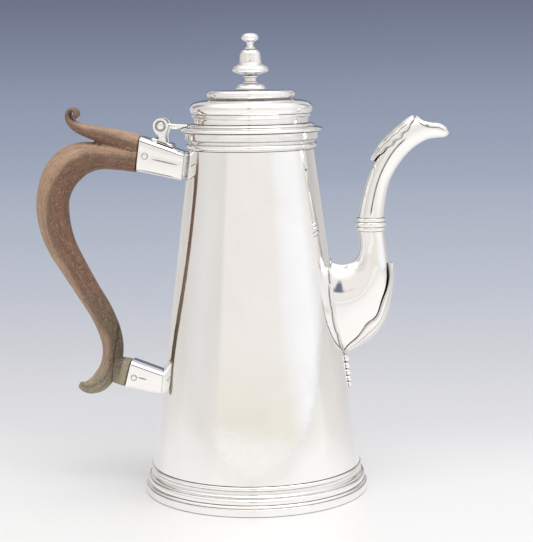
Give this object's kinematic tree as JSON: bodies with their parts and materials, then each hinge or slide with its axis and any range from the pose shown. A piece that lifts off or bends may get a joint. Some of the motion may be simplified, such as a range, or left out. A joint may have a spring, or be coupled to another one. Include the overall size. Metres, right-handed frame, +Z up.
{
  "type": "silver coffee pot",
  "caption": "Tapered silver coffee pot with a hinged domed lid, a turned finial, a swan-neck spout and a scrolled wooden handle.",
  "frame": {"origin": "middle of the object's length and width, on the surface that the foot stands on; the pot's own axis is 6.05 mm along +X from it", "axes": "+Z up, spout along +X, handle along -X, Y is across the pot and is its mirror direction"},
  "size_m": [0.2003, 0.1086, 0.221],
  "materials": {
    "silver": "hand-polished silver",
    "silver_inside": "satin silver",
    "wood": "dull waxed fruitwood"
  },
  "bodies": {
    "pot": {"base_plate": "silver_inside", "body_shell": "silver", "foot_ring": "silver", "rim_moulding": "silver", "upper_socket": "silver", "upper_socket_pad": "silver", "lower_socket": "silver", "upper_handle_pin": "silver", "lower_handle_pin": "silver", "handle": "wood", "hinge_bracket": "silver", "hinge_pin": "silver", "spout_lower": "silver", "spout_collar": "silver", "spout_neck": "silver", "spout_flange": "silver", "spout_back_leaf": "silver", "spout_keel_leaf": "silver", "spout_drop": "silver"},
    "lid": {"lid_cover": "silver", "lid_rim": "silver", "lid_bezel": "silver_inside", "lid_hinge_tongue": "silver", "finial_foot": "silver", "finial_bell": "silver", "finial_button": "silver", "finial_stud": "silver_inside", "finial_washer": "silver_inside", "finial_nut": "silver_inside"}
  },
  "joints": [
    {"name": "lid_hinge", "type": "hinge", "parent": "pot", "child": "lid", "pos_m": [-0.03705, 0, 0.1776], "axis": [0, -1, 0], "range_deg": [0, 105]}
  ]
}
